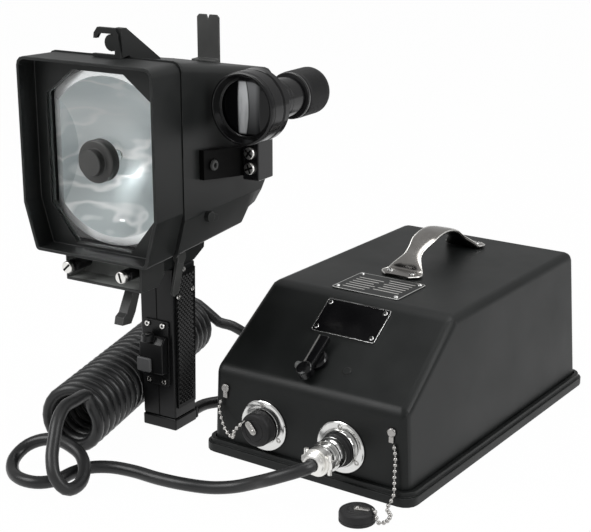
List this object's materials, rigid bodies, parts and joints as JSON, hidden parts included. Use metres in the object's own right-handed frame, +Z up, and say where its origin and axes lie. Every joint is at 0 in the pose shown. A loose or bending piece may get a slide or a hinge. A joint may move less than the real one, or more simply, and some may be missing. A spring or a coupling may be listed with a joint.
{
  "type": "signal lamp",
  "caption": "Hand-held signalling lamp on a pistol grip with a side telescope and sights, a curly rubber cable, and its sloping-front battery case.",
  "frame": {"origin": "centre of the underside of the grip's butt, on the surface that the set stands on", "axes": "+Z up, the lamp looks along -Y, +X towards the telescope and the case"},
  "size_m": [0.4734, 0.5577, 0.4224],
  "materials": {
    "black_paint": "satin black enamel",
    "grey_paint": "worn satin dark grey",
    "black_plastic": "satin black moulding",
    "rubber": "smooth black rubber",
    "chrome": "polished plating",
    "mirror": "silvered reflector",
    "steel": "plain nickelled steel",
    "glass": "clear",
    "brass": "plain",
    "dark_panel": "dark gloss panel"
  },
  "bodies": {
    "lamp_and_case": {"front_hood": "black_paint", "rear_housing": "black_paint", "glass_frame": "black_plastic", "front_glass": "glass", "centre_cap": "black_plastic", "lamp_bulb": "glass", "bulb_holder": "brass", "front_sight": "black_paint", "rear_sight": "grey_paint", "objective_ring": "black_paint", "objective_lens": "glass", "telescope_body": "black_paint", "scope_bracket": "black_paint", "scope_cradle": "black_paint", "clamp_screw_lower": "chrome", "clamp_screw_upper": "chrome", "lower_bracket": "black_paint", "neck_block": "black_paint", "grip_body": "black_plastic", "grip_butt": "black_plastic", "grip_panel_left": "black_plastic", "grip_panel_right": "black_plastic", "switch_plate": "black_plastic", "switch_body": "black_plastic", "cable_gland": "rubber", "case_shell": "black_paint", "case_base": "black_paint", "battery": "black_plastic", "name_plate": "steel", "window_frame": "chrome", "window_pane": "dark_panel", "switch_boss": "black_plastic", "carry_handle": "chrome", "socket_flange_left": "chrome", "socket_flange_right": "chrome", "receptacle": "black_plastic", "plug_body": "chrome", "cord_clamp": "chrome", "loose_cap": "rubber", "cap_tag": "steel", "eyelet_left": "steel", "eyelet_right": "steel", "chain_left": "steel", "chain_right": "steel", "curly_cable": "rubber", "cable_lead": "rubber", "cable_run": "rubber"},
    "trigger": {"trigger": "grey_paint"},
    "reflector": {"reflector": "mirror"},
    "side_lever": {"side_lever": "grey_paint"},
    "captive_left": {"captive_screw_left": "chrome"},
    "captive_right": {"captive_screw_right": "chrome"},
    "eyepiece": {"eyecup": "rubber", "eye_lens": "glass"},
    "side_catch": {"side_catch": "black_paint"},
    "switch_bar": {"switch_bar": "black_plastic"},
    "socket_cap": {"socket_cap": "rubber"},
    "coupling_ring": {"coupling_ring": "chrome"},
    "switch_knob": {"switch_knob": "grey_paint"}
  },
  "joints": [
    {"name": "trigger_pull", "type": "hinge", "parent": "lamp_and_case", "child": "trigger", "pos_m": [0, -0.044, 0.181], "axis": [1, 0, 0], "range_deg": [0, 15], "stiffness_Nm_per_rad": 0.6, "springref_deg": -5.73},
    {"name": "reflector_tilt", "type": "hinge", "parent": "lamp_and_case", "child": "reflector", "pos_m": [0, -0.0609, 0.3], "axis": [-1, 0, 0], "range_deg": [0, 3]},
    {"name": "side_lever_turn", "type": "hinge", "parent": "lamp_and_case", "child": "side_lever", "pos_m": [0.0203, -0.008, 0.187], "axis": [-1, 0, 0], "range_deg": [0, 25]},
    {"name": "captive_left_turn", "type": "hinge", "parent": "lamp_and_case", "child": "captive_left", "pos_m": [-0.0325, -0.1003, 0.1945], "axis": [0, -1, 0], "continuous": true},
    {"name": "captive_right_turn", "type": "hinge", "parent": "lamp_and_case", "child": "captive_right", "pos_m": [0.0325, -0.1003, 0.1945], "axis": [0, -1, 0], "continuous": true},
    {"name": "focus_turn", "type": "hinge", "parent": "lamp_and_case", "child": "eyepiece", "pos_m": [0.115, 0.0526, 0.349], "axis": [0, 1, 0], "range_deg": [-60, 60]},
    {"name": "side_catch_turn", "type": "hinge", "parent": "lamp_and_case", "child": "side_catch", "pos_m": [0.07553, -0.0325, 0.2415], "axis": [-1, 0, 0], "range_deg": [0, 70]},
    {"name": "mode_switch_turn", "type": "hinge", "parent": "lamp_and_case", "child": "switch_bar", "pos_m": [0.18706, -0.01531, 0.11363], "axis": [-0.0335, -0.5759, 0.8168], "range_deg": [0, 90]},
    {"name": "socket_cap_turn", "type": "hinge", "parent": "lamp_and_case", "child": "socket_cap", "pos_m": [0.14114, -0.04024, 0.0406], "axis": [-0.0581, -0.9983, 0], "continuous": true},
    {"name": "coupling_turn", "type": "hinge", "parent": "lamp_and_case", "child": "coupling_ring", "pos_m": [0.22979, -0.05551, 0.0406], "axis": [-0.0581, -0.9983, 0], "continuous": true},
    {"name": "lamp_switch_slide", "type": "slide", "parent": "lamp_and_case", "child": "switch_knob", "axis": [0, 0, 1], "range_m": [0, 0.012]}
  ],
  "couplings": [
    {"joint": "reflector_tilt", "follows": "trigger_pull", "ratio": 0.2}
  ]
}
